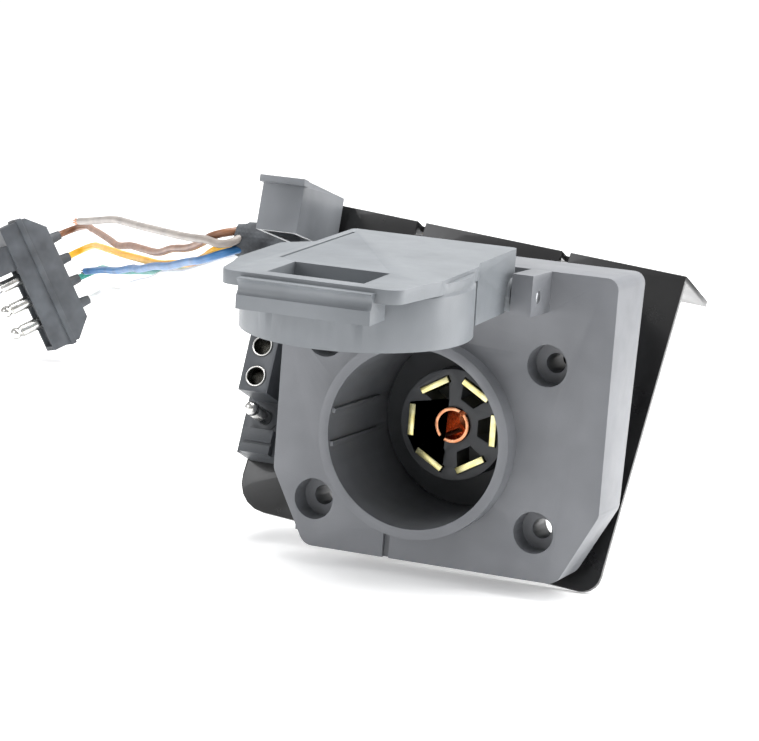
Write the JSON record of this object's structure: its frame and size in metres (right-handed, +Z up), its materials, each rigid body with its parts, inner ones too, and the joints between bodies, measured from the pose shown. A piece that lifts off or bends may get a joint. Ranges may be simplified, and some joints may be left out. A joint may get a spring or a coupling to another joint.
{
  "type": "trailer wiring connector",
  "caption": "Vehicle-side trailer wiring connector: a round blade socket with a hinged lid and a flat socket with a flip cap on a bent steel bracket, with a plug lead.",
  "frame": {"origin": "centre of the round socket's rim", "axes": "+X to the right of the face plate, +Y into the vehicle along the socket axis, +Z up"},
  "size_m": [0.3153, 0.3404, 0.0984],
  "materials": {
    "housing_nylon": "satin",
    "core_nylon": "matte",
    "spring_copper": "satin",
    "seal_rubber": "matte",
    "cover_nylon": "satin",
    "lid_nylon": "satin",
    "zinc_steel": "satin",
    "four_way_nylon": "satin",
    "nickel_brass": "satin",
    "cap_nylon": "satin",
    "coated_steel": "satin",
    "cloth_tape": "matte",
    "branch_tape": "matte",
    "plug_rubber": "matte",
    "blade_brass": "satin",
    "insulation_white": "satin",
    "insulation_brown": "satin",
    "insulation_yellow": "satin",
    "insulation_green": "satin",
    "insulation_blue": "satin",
    "insulation_black": "satin"
  },
  "bodies": {
    "base": {"housing": "housing_nylon", "contact_core": "core_nylon", "blade_contact_1": "blade_brass", "blade_contact_2": "blade_brass", "blade_contact_3": "blade_brass", "blade_contact_4": "blade_brass", "blade_contact_5": "blade_brass", "blade_contact_6": "blade_brass", "centre_contact": "spring_copper", "seal_ring": "seal_rubber", "rear_cover": "cover_nylon", "lid_hinge_pin": "zinc_steel", "four_way_body": "four_way_nylon", "contact_sleeves": "nickel_brass", "bullet_pin": "nickel_brass", "cap_hinge_pin": "zinc_steel", "bracket": "coated_steel", "bracket_screws": "zinc_steel", "harness_trunk": "cloth_tape", "branch_sleeve": "branch_tape", "plug_body": "plug_rubber", "plug_pins": "nickel_brass", "plug_sleeve": "nickel_brass", "wire_white": "insulation_white", "wire_brown": "insulation_brown", "wire_yellow": "insulation_yellow", "wire_green": "insulation_green", "wire_blue": "insulation_blue", "wire_black": "insulation_black"},
    "lid": {"lid": "lid_nylon", "lid_gasket": "seal_rubber"},
    "cap": {"dust_cap": "cap_nylon"}
  },
  "joints": [
    {"name": "lid_hinge", "type": "hinge", "parent": "base", "child": "lid", "pos_m": [0, -0.003, 0.0407], "axis": [1, 0, 0], "range_deg": [-15, 86.5]},
    {"name": "cap_hinge", "type": "hinge", "parent": "base", "child": "cap", "pos_m": [-0.0528, 0.05345, 0.02313], "axis": [1, 0, 0], "range_deg": [-3, 56]}
  ]
}
